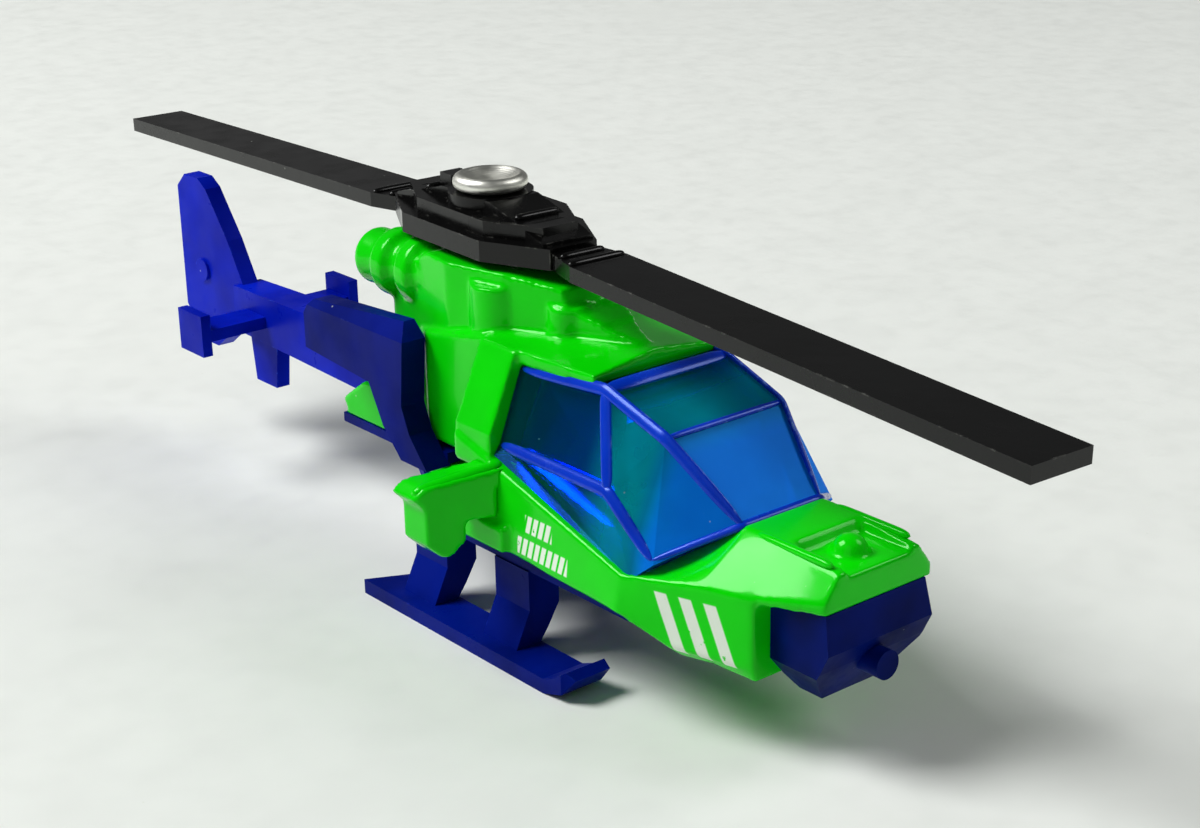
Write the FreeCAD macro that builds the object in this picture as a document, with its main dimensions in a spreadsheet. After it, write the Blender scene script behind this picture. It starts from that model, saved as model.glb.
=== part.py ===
"""Pocket-size toy helicopter: cast body, plastic base, sliding tail and spinning rotor.

Millimetres.  The nose points to -Y, port is +X, up is +Z.  The origin lies on the ground
under the rotor's axis.  Every size is a cell of the Dims sheet, or worked out from cells.
"""
import FreeCAD, Part
import os
import Sketcher

Vector = FreeCAD.Vector
doc = FreeCAD.newDocument("toy_helicopter")
sheet = doc.addObject("Spreadsheet::Sheet", "Dims")

# alias: value.  A y value is negative toward the nose, a z value is a height above ground.
DIMS = {
    # rotor
    "rotor_radius": 44.0, "blade_chord": 3.9, "blade_thick": 0.9, "blade_droop": 2.0,
    "rotor_set": -3.0, "blade_start": 5.2, "blade_root_z": 21.95, "blade_neck": 2.6,
    "blade_neck_y": 7.4, "blade_full_y": 10.4,
    "hub_z": 21.2, "hub_deck_z": 22.4, "hub_cap_z": 23.3, "hub_boss_z": 24.0,
    "hub_half_long": 8.1, "hub_half_wide": 3.6, "hub_end_half": 1.6, "hub_cap_long": 6.9,
    "hub_cap_wide": 2.9, "hub_cap_end": 1.2, "hub_boss_radius": 2.5, "hub_bore_radius": 1.12,
    "saddle_half": 1.7, "saddle_z": 23.95, "saddle_y": 2.4, "saddle_end_y": 7.6,
    "saddle_end_z": 22.6, "lug_y": 3.1, "lug_long": 1.2, "lug_half": 0.7, "lug_z": 24.3,
    "rivet_head_radius": 2.2, "rivet_shank_radius": 1.05, "rivet_gap": 0.06,
    "rivet_top_z": 24.95, "rivet_rim": 0.3, "rivet_foot_z": 18.2, "rivet_dimple": 0.9,
    # tub, from behind the pillar to the cheeks: half-widths and heights of its stations
    "tub_rear_y": -5.4, "tub_front_y": -19.8, "keel_y": -22.6, "hood_rear_y": -24.5,
    "cheek_y": -27.4, "lip_y": -31.3, "side_half": 7.2, "belly_half": 6.1, "belly_z": 6.0,
    "side_foot_z": 6.8, "sill_rear_z": 12.7, "sill_front_z": 8.5, "sill_half": 5.6,
    "hood_half": 2.8, "hood_z": 11.45, "hood_mid_z": 10.35, "ridge_mid_half": 6.45,
    "ridge_mid_z": 8.75, "keel_mid_half": 5.5, "ridge_half": 5.85, "ridge_z": 8.95,
    "keel_half": 4.9, "keel_z": 4.3, "keel_side_z": 5.1, "cheek_half": 4.95,
    "cheek_keel_half": 4.75, "lip_half": 3.8, "lip_foot_z": 9.05, "lip_ridge_z": 9.7,
    "hood_step_y": -27.2, "hood_step_z": 10.75, "hood_step_half": 2.3, "hood_slope": 0.8,
    "dome_radius": 1.0, "dome_y": -29.2, "edge_round": 0.4,
    # pillar, roof and core
    "roof_z": 17.3, "roof_thick": 0.8, "roof_front_y": -14.5, "roof_half": 5.0,
    "roof_front_half": 4.4, "roof_crown": 0.6, "pillar_front_y": -8.4, "pillar_rear_y": -5.2,
    "pillar_half": 6.95, "pillar_waist_z": 12.8, "core_half": 4.7, "core_mid_y": 0.6,
    "core_mid_z": 16.2, "core_rear_y": 5.6, "core_rear_half": 3.4, "core_rear_z": 15.4,
    "core_rise_y": 4.0, "cone_z": 7.95, "cone_half": 3.6, "cone_y": 11.6,
    "cone_top_z": 10.6, "cone_slope_y": 9.2, "core_seat_z": 12.9,
    # engine cowl
    "cowl_rear_half": 3.4, "cowl_half": 4.3, "cowl_half_y": -1.2, "cowl_mid_half": 3.4,
    "cowl_mid_y": -5.3, "cowl_fore_half": 2.0, "cowl_fore_y": -9.0, "cowl_nose_half": 0.4,
    "cowl_nose_y": -13.5, "cowl_foot_z": 14.5, "cowl_rear_z": 18.2, "cowl_rise_y": 1.2,
    "cowl_z": 20.7, "cowl_brow_y": -8.9, "cowl_brow_z": 20.3, "cowl_step_z": 19.2,
    "cowl_toe_y": -11.2, "cowl_toe_z": 18.7, "cowl_tip_z": 18.05,
    "bulge_y": -4.1, "bulge_x": 2.6, "bulge_radius": 1.75, "bulge_z": 19.9,
    "hump_y": -8.6, "hump_x": 1.3, "hump_radius": 1.2, "hump_z": 19.3,
    # engine nozzles, measured along their own axis from the cowl
    "nozzle_x": 2.35, "nozzle_y": 0.8, "nozzle_z": 18.95, "nozzle_tilt": 2.0,
    "nozzle_neck": 1.6, "nozzle_ring": 2.1, "nozzle_end": 1.75, "ring_start": 1.7,
    "ring_wide": 1.9, "ring_pitch": 2.5, "nozzle_long": 8.1, "nozzle_lip": 0.45,
    "nozzle_bore": 1.05, "nozzle_bore_deep": 1.5, "ring_count": 2,
    # stub wings with a pod under each tip
    "wing_root_x": 6.2, "wing_tip_x": 11.7, "wing_top_z": 11.45, "wing_tip_top_z": 10.7,
    "wing_tip_z": 10.1, "wing_tip_low_z": 9.4, "wing_low_z": 8.5, "pod_out_x": 11.1,
    "pod_in_x": 9.0, "pod_foot_z": 6.5, "pod_round": 0.8, "wing_root_front_y": -10.0,
    "wing_tip_front_y": -7.8, "wing_root_rear_y": -7.8, "wing_tip_rear_y": -5.5,
    "blister_out": 7.75, "blister_rear_y": -6.2, "blister_front_y": -10.4,
    "blister_low_z": 6.7, "blister_top_z": 8.1,
    # hollows of the casting
    "well_rear_y": -8.4, "well_front_y": -20.6, "well_z": 8.3, "well_half": 5.2,
    "cavity_front_y": -13.0, "cavity_rear_y": -0.4, "cavity_half": 3.6, "cavity_z": 14.6,
    "slot_half": 1.85, "slot_z": 8.2, "slot_top_z": 12.6, "yoke_slot_front_y": -7.2,
    "yoke_slot_rear_y": 1.5, "yoke_slot_top_z": 9.6, "foot_slot_top_z": 10.8,
    # corners of the glazing
    "glass_wall": 0.8, "glass_skirt": 2.4, "glass_rear_y": -8.45, "glass_roof_half": 4.6,
    "glass_roof_z": 16.45,
    "screen_half": 4.35, "screen_y": -15.4, "screen_z": 16.8, "crease_half": 4.2,
    "crease_y": -20.0, "crease_z": 15.3, "screen_foot_half": 2.8, "screen_foot_y": -24.4,
    "screen_foot_z": 11.3, "belt_z": 12.25, "belt_half": 6.25, "belt_front_y": -17.7,
    "foot_half": 6.5, "foot_y": -21.6, "foot_z": 9.4, "toe_half": 6.95, "toe_y": -20.3,
    "toe_z": 8.3, "sill_glass_half": 6.7, "sill_glass_z": 11.7,
    # cockpit
    "tray_half": 4.9, "tray_thick": 0.7, "tray_gap": 0.1, "seat_half": 1.8, "seat_deep": 3.0,
    "seat_high": 1.3, "seat_back_high": 4.6, "seat_back_deep": 1.0, "rear_seat_y": -8.9,
    "front_seat_y": -14.0, "rear_seat_rise": 1.2, "panel_y": -19.2, "panel_deep": 1.2,
    "panel_half": 3.4, "panel_high": 2.2, "stick_radius": 0.3, "stick_high": 2.2,
    # base plate
    "base_z": 5.4, "base_front_y": -19.6, "base_half": 6.4, "base_waist_y": -5.0,
    "base_waist_half": 4.7, "base_step_y": 0.8, "base_rise_y": 4.4, "base_rear_z": 7.35,
    "front_rivet_y": -15.4, "rear_rivet_y": 8.4, "post_radius": 1.1, "post_head": 1.8,
    "post_head_thick": 0.45, "front_post_z": 7.6, "rear_post_z": 8.15,
    # chin turret
    "chin_half": 3.75, "chin_front_y": -31.5, "chin_side_z": 5.4, "chin_keel_z": 3.25,
    "chin_keel_half": 2.0, "chin_keel_y": -29.4, "chin_heel_z": 4.2, "chin_brow_y": -30.9,
    "chin_mid_z": 6.9, "chin_face_z": 5.7, "barrel_radius": 0.8, "barrel_z": 5.45,
    "barrel_y": -32.0, "barrel_root_y": -30.0,
    # skids
    "ski_out": 8.5, "ski_in": 5.7, "ski_thick": 0.9, "ski_tail_out_y": 2.7,
    "ski_tail_in_y": 1.3, "ski_bend_y": -14.6, "ski_rise_y": -16.2, "ski_rise_z": 0.5,
    "ski_tip_y": -17.0, "ski_tip_z": 1.5, "ski_curl_y": -16.5, "ski_curl_z": 1.9,
    "ski_scoop_y": -15.5, "ski_scoop_z": 1.25, "strut_out": 6.5, "strut_in": 4.4,
    "strut_foot_out": 7.5, "strut_foot_in": 5.8, "strut_ankle": 5.2, "strut_ankle_z": 1.7,
    "strut_knee_z": 3.0, "strut_long": 3.1, "rear_strut_y": -0.1, "front_strut_y": -7.9,
    # tail
    "boom_half": 1.5, "boom_end_half": 1.1, "boom_z": 8.5, "boom_top_z": 12.3,
    "boom_front_y": 0.4, "boom_end_y": 28.8, "boom_end_z": 8.7, "boom_end_top_z": 11.9,
    "fin_half": 0.6, "fin_root_y": 28.3, "fin_kink_y": 30.0, "fin_kink_z": 14.7,
    "fin_brow_y": 32.5, "fin_brow_z": 17.9, "fin_top_y": 33.5, "fin_top_z": 18.5,
    "fin_back_y": 35.3, "fin_rear_y": 36.4, "fin_rear_z": 17.5, "fin_heel_z": 8.8,
    "heel_y": 34.6, "heel_z": 6.5, "heel_front_y": 32.4, "notch_y": 29.3,
    "tail_hub_radius": 0.8, "tail_hub_y": 33.6, "tail_hub_z": 11.9, "tail_hub_high": 0.2,
    "tab_rear_y": 28.0, "tab_front_y": 24.4, "tab_z": 5.25, "tab_half": 0.5, "tab_taper": 0.5,
    "plane_half": 5.5, "plane_rear_y": 27.2, "plane_front_y": 24.6, "plane_z": 9.8,
    "plane_thick": 0.8, "plate_out": 6.2, "plate_rear_y": 27.4, "plate_front_y": 24.4,
    "plate_z": 8.9, "plate_top_z": 11.75,
    # exhaust arms and the yoke that joins them to the boom
    "arm_out": 6.6, "arm_in": 4.95, "arm_rear_y": 10.7, "arm_rear_z": 15.4, "arm_low_z": 13.2,
    "arm_top_z": 16.9, "arm_brow_y": 10.0, "arm_brow_z": 16.35, "arm_elbow_y": 1.2, "arm_front_y": 0.2,
    "arm_front_z": 16.0, "arm_throat_y": 0.6, "arm_throat_z": 12.0, "arm_shin_y": -0.1,
    "arm_shin_z": 10.4, "arm_toe_y": -1.7, "arm_foot_z": 8.6, "arm_heel_y": 0.9,
    "arm_calf_y": 2.6, "arm_calf_z": 10.3, "arm_knee_y": 3.9, "arm_knee_z": 12.7,
    "arm_bevel": 0.9, "arm_bore_deep": 1.0, "arm_wall": 0.45, "yoke_z": 8.6,
    "yoke_thick": 0.7, "yoke_front_y": -1.5, "yoke_rear_y": 1.0,
}
for row, (alias, number) in enumerate(DIMS.items(), start=1):
    sheet.set(f"A{row}", alias)
    sheet.set(f"B{row}", str(number))
    sheet.setAlias(f"B{row}", alias)
doc.recompute()


def bind(expression):
    """Turn words of an expression into references to the sheet."""
    words = []
    for word in expression.split(" "):
        sign = "-" if word.startswith("-") and len(word) > 1 else ""
        bare = word[len(sign):]
        words.append(sign + ("Dims." + bare if bare in DIMS else bare))
    return " ".join(words)


def size(expression):
    """Value of an expression of the sheet's words."""
    return float(sheet.evalExpression(bind(expression)))


# Each drawing plane: its body plane, its turn, its axis and the axis's sign along the normal.
PLANES = {
    "plan": ("XY_Plane", FreeCAD.Rotation(), "z", 1),
    "front": ("XZ_Plane", FreeCAD.Rotation(Vector(1, 0, 0), 90), "y", -1),
    "side": ("YZ_Plane", FreeCAD.Rotation(Vector(1, 1, 1), 120), "x", 1),
}
NODES = {}


def draw(sketch, corners):
    """Closed outline through corners, each a pair of expressions bound to the sheet."""
    points = [Vector(size(across), size(up), 0) for across, up in corners]
    count = len(points)
    for index, point in enumerate(points):
        sketch.addGeometry(Part.LineSegment(point, points[(index + 1) % count]), False)
    for index in range(count):
        sketch.addConstraint(Sketcher.Constraint("Coincident", index, 2, (index + 1) % count, 1))
    for index, (point, pair) in enumerate(zip(points, corners)):
        for kind, number, words in zip(("DistanceX", "DistanceY"), (point.x, point.y), pair):
            rule = sketch.addConstraint(Sketcher.Constraint(kind, -1, 1, index, 1, number))
            sketch.setExpression(f"Constraints[{rule}]", bind(words))


def outline(name, plane, level, corners):
    """Sketch on a plane of the document at a level along that plane's axis."""
    sketch = doc.addObject("Sketcher::SketchObject", name)
    _, turn, axis, _ = PLANES[plane]
    sketch.Placement = FreeCAD.Placement(Vector(), turn)
    draw(sketch, corners)
    sketch.setExpression(f"Placement.Base.{axis}", bind(level))
    return sketch


def prism(name, plane, low, high, corners):
    """Outline extruded from the low level to the high level of its plane's axis."""
    solid = doc.addObject("Part::Extrusion", name)
    solid.Base = outline(name + "_outline", plane, low, corners)
    solid.DirMode = "Custom"
    axis = PLANES[plane][2]
    solid.Dir = Vector(axis == "x", axis == "y", axis == "z")
    solid.Solid = True
    solid.setExpression("LengthFwd", bind(f"( {high} ) - ( {low} )"))
    return solid


def loft(name, plane, stations):
    """Straight-sided solid through outlines, each a (level, corners) pair."""
    solid = doc.addObject("Part::Loft", name)
    solid.Sections = [outline(f"{name}_{index}", plane, level, corners)
                      for index, (level, corners) in enumerate(stations)]
    solid.Solid = True
    solid.Ruled = True
    return solid


def block(name, x_low, x_high, y_low, y_high, z_low, z_high):
    """Box between pairs of levels."""
    solid = doc.addObject("Part::Box", name)
    for edge, axis, low, high in (("Length", "x", x_low, x_high), ("Width", "y", y_low, y_high),
                                  ("Height", "z", z_low, z_high)):
        solid.setExpression(edge, bind(f"( {high} ) - ( {low} )"))
        solid.setExpression(f"Placement.Base.{axis}", bind(low))
    return solid


def rod(name, radius, axis, centre, low, high):
    """Cylinder along an axis through a centre given on the other two, from low to high."""
    solid = doc.addObject("Part::Cylinder", name)
    turns = {"z": FreeCAD.Rotation(), "y": FreeCAD.Rotation(Vector(1, 0, 0), -90),
             "x": FreeCAD.Rotation(Vector(0, 1, 0), 90)}
    solid.Placement = FreeCAD.Placement(Vector(), turns[axis])
    solid.setExpression("Radius", bind(radius))
    solid.setExpression("Height", bind(f"( {high} ) - ( {low} )"))
    others = [letter for letter in "xyz" if letter != axis]
    for letter, words in zip(others, centre):
        solid.setExpression(f"Placement.Base.{letter}", bind(words))
    solid.setExpression(f"Placement.Base.{axis}", bind(low))
    return solid


def join(name, solids):
    """Union of solids."""
    union = doc.addObject("Part::MultiFuse", name)
    union.Shapes = solids
    union.Refine = True
    return union


def meet(name, solids):
    """Intersection of solids."""
    shared = doc.addObject("Part::MultiCommon", name)
    shared.Shapes = solids
    shared.Refine = True
    return shared


def cut(name, base, tool):
    """Base less tool."""
    rest = doc.addObject("Part::Cut", name)
    rest.Base = base
    rest.Tool = tool
    rest.Refine = True
    return rest


def mirror(name, source):
    """Copy of a solid on the other side of the centre plane."""
    twin = doc.addObject("Part::Mirroring", name)
    twin.Source = source
    twin.Normal = Vector(1, 0, 0)
    return twin


def node(label, solid):
    """Name a finished sub-part."""
    solid.Label = label
    NODES[label] = solid
    return solid


def both(half_corners):
    """Outline symmetric about the centre plane from its port half, listed top to bottom."""
    starboard = [("-" + across if across != "0" else across, up)
                 for across, up in reversed(half_corners)]
    if half_corners[-1][0] == "0":
        starboard = starboard[1:]
    if half_corners[0][0] == "0":
        starboard = starboard[:-1]
    return half_corners + starboard


def body_sketch(body, name, plane, level):
    """Empty sketch on one of the body's own planes at a level along that plane's axis."""
    role, _, _, sign = PLANES[plane]
    sketch = body.newObject("Sketcher::SketchObject", name)
    face = next(item for item in body.Origin.OriginFeatures if item.Role == role)
    sketch.AttachmentSupport = [(face, "")]
    sketch.MapMode = "FlatFace"
    offset = bind(f"( {level} ) * {sign}")
    sketch.setExpression("AttachmentOffset.Base.z", offset)
    return sketch


def ring(body, name, level, radius):
    """Circle about the body's own z axis at a level."""
    sketch = body_sketch(body, name, "plan", level)
    sketch.addGeometry(Part.Circle(Vector(), Vector(0, 0, 1), size(radius)), False)
    sketch.addConstraint(Sketcher.Constraint("Coincident", 0, 3, -1, 1))
    rule = sketch.addConstraint(Sketcher.Constraint("Radius", 0, size(radius)))
    sketch.setExpression(f"Constraints[{rule}]", bind(radius))
    return sketch


def pad(body, name, plane, low, high, corners):
    """Pad between two levels of the plane's axis."""
    backward = PLANES[plane][3] < 0
    sketch = body_sketch(body, name + "_outline", plane, high if backward else low)
    draw(sketch, corners)
    feature = body.newObject("PartDesign::Pad", name)
    feature.Profile = sketch
    feature.setExpression("Length", bind(f"( {high} ) - ( {low} )"))
    doc.recompute()
    return feature


def turn(body, name, corners):
    """Revolution about the body's own z axis of an outline of (radius, height) corners."""
    sketch = body_sketch(body, name + "_outline", "front", "0")
    draw(sketch, corners)
    feature = body.newObject("PartDesign::Revolution", name)
    feature.Profile = sketch
    feature.ReferenceAxis = (sketch, ["V_Axis"])
    feature.Angle = 360.0
    doc.recompute()
    return feature


def tub_station(top, ridge, foot, keel):
    """Section of the tub: top edge, ridge, foot of the side and keel edge."""
    return both([top, ridge, foot, keel])


def make_tub():
    """Lower body from behind the pillar to the front of the cheeks."""
    return loft("tub", "front", [
        ("tub_rear_y", tub_station(
            ("sill_half", "sill_rear_z"), ("side_half", "sill_rear_z - edge_round"),
            ("side_half", "side_foot_z"), ("belly_half", "belly_z"))),
        ("tub_front_y", tub_station(
            ("hood_half", "sill_front_z + edge_round"), ("side_half", "sill_front_z"),
            ("side_half - edge_round", "side_foot_z - edge_round"),
            ("belly_half", "belly_z"))),
        ("keel_y", tub_station(
            ("hood_half", "hood_mid_z"), ("ridge_mid_half", "ridge_mid_z"),
            ("ridge_mid_half", "keel_side_z"), ("keel_mid_half", "keel_z"))),
        ("hood_rear_y", tub_station(
            ("hood_half", "hood_z"), ("ridge_half", "ridge_z"),
            ("ridge_half", "keel_side_z"), ("keel_half", "keel_z"))),
        ("cheek_y", tub_station(
            ("hood_half", "hood_z"), ("cheek_half", "ridge_z"),
            ("cheek_half", "keel_side_z"), ("cheek_keel_half", "keel_z"))),
    ])


def make_hood():
    """Nose lip over the chin, with the stepped plate and its dome."""
    lip = loft("lip", "front", [
        ("cheek_y", both([("hood_half", "hood_z"), ("cheek_half", "ridge_z"),
                          ("cheek_keel_half", "lip_foot_z - edge_round")])),
        ("lip_y", both([("hood_half", "hood_z - edge_round"), ("lip_half", "lip_ridge_z"),
                        ("lip_half", "lip_foot_z")])),
    ])
    step = prism("hood_step", "side", "-hood_step_half", "hood_step_half", [
        ("hood_step_y", "hood_z + edge_round"), ("hood_step_y - hood_slope", "hood_step_z"),
        ("lip_y - edge_round", "hood_step_z"), ("lip_y - edge_round", "hood_z + edge_round")])
    dome = doc.addObject("Part::Sphere", "dome")
    dome.setExpression("Radius", bind("dome_radius"))
    dome.setExpression("Placement.Base.y", bind("dome_y"))
    dome.setExpression("Placement.Base.z", bind("hood_step_z"))
    return lip, step, dome


def make_upper():
    """Pillar, roof, core behind the pillar and the fairing around the tail boom."""
    pillar = prism("pillar", "front", "pillar_front_y", "pillar_rear_y", both([
        ("0", "roof_z + roof_crown"), ("roof_half", "roof_z"), ("pillar_half", "pillar_waist_z"),
        ("pillar_half", "ridge_z"), ("0", "ridge_z")]))
    roof = loft("roof", "front", [
        (level, both([("0", "roof_z + roof_crown"), (half, "roof_z"),
                      (half, "roof_z - roof_thick"), ("0", "roof_z - roof_thick")]))
        for level, half in (("roof_front_y", "roof_front_half"), ("pillar_rear_y", "roof_half"))])
    core = loft("core", "front", [
        (level, both([("0", f"{top} + roof_crown"), (half, top), (half, foot), ("0", foot)]))
        for level, half, top, foot in (
            ("pillar_rear_y", "core_half", "roof_z", "belly_z"),
            ("core_mid_y", "core_half", "core_mid_z", "belly_z"),
            ("core_rise_y", "core_rear_half + edge_round", "core_rear_z", "cone_z"),
            ("core_rear_y", "core_rear_half", "core_rear_z", "cone_z"))])
    cone = prism("cone", "side", "-cone_half", "cone_half", [
        ("core_rise_y", "cone_z"), ("cone_y", "cone_z"), ("cone_y - edge_round", "slot_z"),
        ("cone_y", "ridge_z"), ("cone_slope_y", "cone_top_z"), ("core_rear_y", "cone_top_z"),
        ("core_rise_y", "core_seat_z")])
    return [pillar, roof, core, cone]


def make_cowl():
    """Engine cowl under the rotor: a wedge in plan with a stepped brow and side bulges."""
    plan = prism("cowl_plan", "plan", "cowl_foot_z", "cowl_z + edge_round", [
        ("cowl_rear_half", "core_rear_y"), ("cowl_half", "cowl_half_y"),
        ("cowl_mid_half", "cowl_mid_y"), ("cowl_fore_half", "cowl_fore_y"),
        ("cowl_nose_half", "cowl_nose_y"), ("-cowl_nose_half", "cowl_nose_y"),
        ("-cowl_fore_half", "cowl_fore_y"), ("-cowl_mid_half", "cowl_mid_y"),
        ("-cowl_half", "cowl_half_y"), ("-cowl_rear_half", "core_rear_y")])
    side = prism("cowl_side", "side", "-side_half", "side_half", [
        ("core_rear_y", "cowl_foot_z"), ("core_rear_y", "cowl_rear_z"),
        ("cowl_rise_y", "cowl_z"), ("cowl_mid_y", "cowl_z"), ("cowl_brow_y", "cowl_brow_z"),
        ("cowl_brow_y - edge_round", "cowl_step_z"), ("cowl_toe_y", "cowl_toe_z"),
        ("cowl_toe_y - edge_round", "cowl_tip_z + edge_round"), ("cowl_nose_y", "cowl_tip_z"),
        ("cowl_nose_y", "roof_z"), ("cowl_brow_y", "cowl_foot_z + roof_crown"),
        ("cowl_mid_y", "cowl_foot_z")])
    parts = [meet("cowl", [plan, side])]
    for kind in ("bulge", "hump"):
        for hand, sign in (("port", ""), ("starboard", "-")):
            parts.append(rod(f"{kind}_{hand}", f"{kind}_radius", "z",
                             (f"{sign}{kind}_x", f"{kind}_y"), "roof_z - roof_thick",
                             f"{kind}_z"))
    return parts


def make_wing():
    """Starboard stub wing with its pod, drooping and swept a little."""
    face = prism("wing_face", "front", "wing_root_front_y", "wing_tip_rear_y", [
        ("-wing_root_x", "wing_top_z"), ("-pod_out_x", "wing_tip_top_z"),
        ("-wing_tip_x", "wing_tip_z"), ("-pod_out_x", "wing_tip_low_z"),
        ("-pod_out_x", "pod_foot_z + pod_round"), ("-pod_out_x + pod_round", "pod_foot_z"),
        ("-pod_in_x - pod_round", "pod_foot_z"), ("-pod_in_x", "pod_foot_z + pod_round"),
        ("-pod_in_x", "wing_low_z"), ("-wing_root_x", "wing_low_z")])
    sweep = prism("wing_sweep", "plan", "pod_foot_z", "wing_top_z", [
        ("-wing_root_x", "wing_root_front_y"), ("-wing_root_x", "wing_root_rear_y"),
        ("-wing_tip_x", "wing_tip_rear_y"), ("-wing_tip_x", "wing_tip_front_y")])
    return meet("wing_beam", [face, sweep])


def make_hollows():
    """Everything cut from the casting: cockpit well, cavity, boom slot and yoke slots."""
    well = block("well", "-well_half", "well_half", "well_front_y", "well_rear_y",
                 "well_z", "roof_z - roof_thick")
    cavity = block("cavity", "-cavity_half", "cavity_half", "cavity_front_y",
                   "cavity_rear_y", "belly_z", "cavity_z")
    slot = block("boom_slot", "-slot_half", "slot_half", "cavity_rear_y - edge_round",
                 "cone_y", "slot_z", "slot_top_z")
    yoke = block("yoke_slot", "-side_half", "side_half", "yoke_slot_front_y",
                 "yoke_slot_rear_y", "slot_z", "yoke_slot_top_z")
    feet = [block(f"foot_slot_{hand}", low, high, "yoke_slot_front_y", "pillar_rear_y",
                  "slot_z", "foot_slot_top_z")
            for hand, low, high in (("port", "core_half", "side_half"),
                                    ("starboard", "-side_half", "-core_half"))]
    bore = rod("rivet_seat", "rivet_shank_radius", "z", ("0", "0"), "rivet_foot_z",
               "cowl_z + edge_round")
    posts = [rod(f"post_seat_{end}", "post_radius", "z", ("0", f"{end}_rivet_y"), "belly_z",
                 f"{end}_post_z") for end in ("front", "rear")]
    return join("hollows", [well, cavity, slot, yoke, bore] + feet + posts)


def make_nozzle():
    """Starboard engine nozzle: a ringed barrel that points aft and a little down."""
    barrel = doc.addObject("PartDesign::Body", "nozzle")
    rings = []
    for count in range(int(size("ring_count"))):
        start = f"ring_start + {count} * ring_pitch"
        rings += [("nozzle_neck", start), ("nozzle_ring", f"{start} + nozzle_lip"),
                  ("nozzle_ring", f"{start} + ring_wide - nozzle_lip"),
                  ("nozzle_neck", f"{start} + ring_wide")]
    turn(barrel, "nozzle_barrel", [("0", "0"), ("nozzle_neck", "0")] + rings + [
        ("nozzle_end", "nozzle_long - nozzle_lip"), ("nozzle_bore + nozzle_lip", "nozzle_long"),
        ("nozzle_bore", "nozzle_long"), ("nozzle_bore", "nozzle_long - nozzle_bore_deep"),
        ("0", "nozzle_long - nozzle_bore_deep")])
    barrel.Placement = FreeCAD.Placement(
        Vector(-size("nozzle_x"), size("nozzle_y"), size("nozzle_z")),
        FreeCAD.Rotation(Vector(1, 0, 0), -90 - size("nozzle_tilt")))
    return barrel


def make_shell():
    """Cast body: tub, hood, pillar, roof, core and cowl, less its hollows."""
    lip, step, dome = make_hood()
    blister = block("blister", "-blister_out", "blister_out", "blister_front_y",
                    "blister_rear_y", "blister_low_z", "blister_top_z")
    barrel = make_nozzle()
    solid = join("casting", [make_tub(), lip, blister, barrel, mirror("nozzle_port", barrel)]
                 + make_upper() + make_cowl())
    plated = join("casting_dome", [cut("casting_step", solid, step), dome])
    window = doc.addObject("Part::Feature", "window_space")
    window.Shape = faceted(canopy_corners(0.0, 0.0, 0.0))
    opened = cut("casting_windows", plated, window)
    return node("fuselage_shell", cut("shell", opened, make_hollows()))


def make_wings(shell):
    """Both stub wings, each shaped to the side of the casting."""
    wing = node("stub_wing_starboard", cut("wing_starboard", make_wing(), shell))
    node("stub_wing_port", mirror("wing_port", wing))


def canopy_corners(wall, rear, drop):
    """Port corners of the glazing, set inward by wall, its rear and foot moved."""
    half = {name: size(f"{name}_half") - wall for name in
            ("glass_roof", "screen", "crease", "screen_foot", "foot", "toe", "sill_glass")}
    belt = size("belt_half") - wall
    back = size("glass_rear_y") + rear
    return {
        "roof": Vector(half["glass_roof"], back, size("glass_roof_z") - wall),
        "screen": Vector(half["screen"], size("screen_y") + wall / 2, size("screen_z") - wall),
        "crease": Vector(half["crease"], size("crease_y") + wall, size("crease_z") - wall / 2),
        "base": Vector(half["screen_foot"], size("screen_foot_y") + wall,
                       size("screen_foot_z") - drop),
        "foot": Vector(half["foot"], size("foot_y") + wall, size("foot_z") - drop),
        "toe": Vector(half["toe"], size("toe_y") + wall, size("toe_z") - drop),
        "belt": Vector(belt, size("belt_front_y") + wall / 2, size("belt_z")),
        "belt_rear": Vector(belt, back, size("belt_z")),
        "sill": Vector(half["sill_glass"], back, size("sill_glass_z") - drop),
    }


def faceted(corners):
    """Closed solid with flat panes through the glazing's corners and their mirror twins."""
    twin = {name: Vector(-point.x, point.y, point.z) for name, point in corners.items()}
    panes = ["roof screen belt", "roof belt belt_rear", "belt_rear belt toe",
             "belt_rear toe sill", "belt foot toe", "screen crease belt",
             "crease foot belt", "crease base foot"]
    faces = []
    for pane in panes:
        for side in (corners, twin):
            loop = [side[name] for name in pane.split()]
            faces.append(Part.Face(Part.makePolygon(loop + loop[:1])))
    spans = ["roof screen", "screen crease", "crease base", "base foot", "foot toe", "toe sill"]
    for span in spans:
        first, last = span.split()
        loop = [corners[first], corners[last], twin[last], twin[first]]
        faces.append(Part.Face(Part.makePolygon(loop + loop[:1])))
    rear = [corners["roof"], corners["belt_rear"], corners["sill"],
            twin["sill"], twin["belt_rear"], twin["roof"]]
    faces.append(Part.Face(Part.makePolygon(rear + rear[:1])))
    solid = Part.Solid(Part.makeShell(faces))
    if solid.Volume < 0:
        solid.reverse()
    return solid


def make_canopy(shell):
    """Faceted glazing: a thin hood open below, seated on the casting's sill."""
    outer = faceted(canopy_corners(0.0, 0.0, 0.0))
    wall = size("glass_wall")
    inner = faceted(canopy_corners(wall, -wall, size("glass_skirt")))
    hood = doc.addObject("Part::Feature", "glass_hood")
    hood.Shape = outer.cut(inner)
    return node("canopy_glazing", cut("glazing", hood, shell))


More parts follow.
